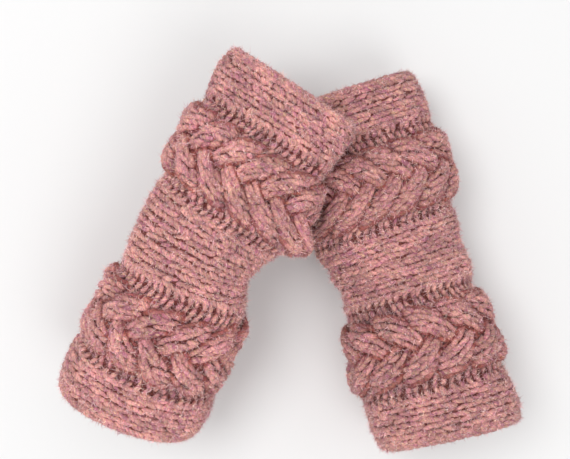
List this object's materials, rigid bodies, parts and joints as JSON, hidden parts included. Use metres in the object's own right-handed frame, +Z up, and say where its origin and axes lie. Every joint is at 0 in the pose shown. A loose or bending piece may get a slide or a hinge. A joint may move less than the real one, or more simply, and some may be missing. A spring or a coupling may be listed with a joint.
{
  "type": "pair of knitted arm warmers",
  "caption": "Pair of sideways-knit fingerless arm warmers with rib bands, plaited cables and a thumb slit, worn and crossed, the left over the right.",
  "frame": {"origin": "the middle of the left warmer at the wrist, where the wearer's wrist holds it", "axes": "+Z up, away from the surface that the hands are held over; +Y to the side that the fingers point to; +X to the right, from the left warmer to the right one"},
  "size_m": [0.2635, 0.2262, 0.0959],
  "materials": {
    "left_yarn": "fuzzy heathered wool, dusty rose with tan and plum flecks, fully matt",
    "right_yarn": "fuzzy heathered wool, dusty rose with tan and plum flecks, fully matt"
  },
  "bodies": {
    "root": {"left_warmer": "left_yarn", "right_warmer": "right_yarn"}
  },
  "joints": []
}
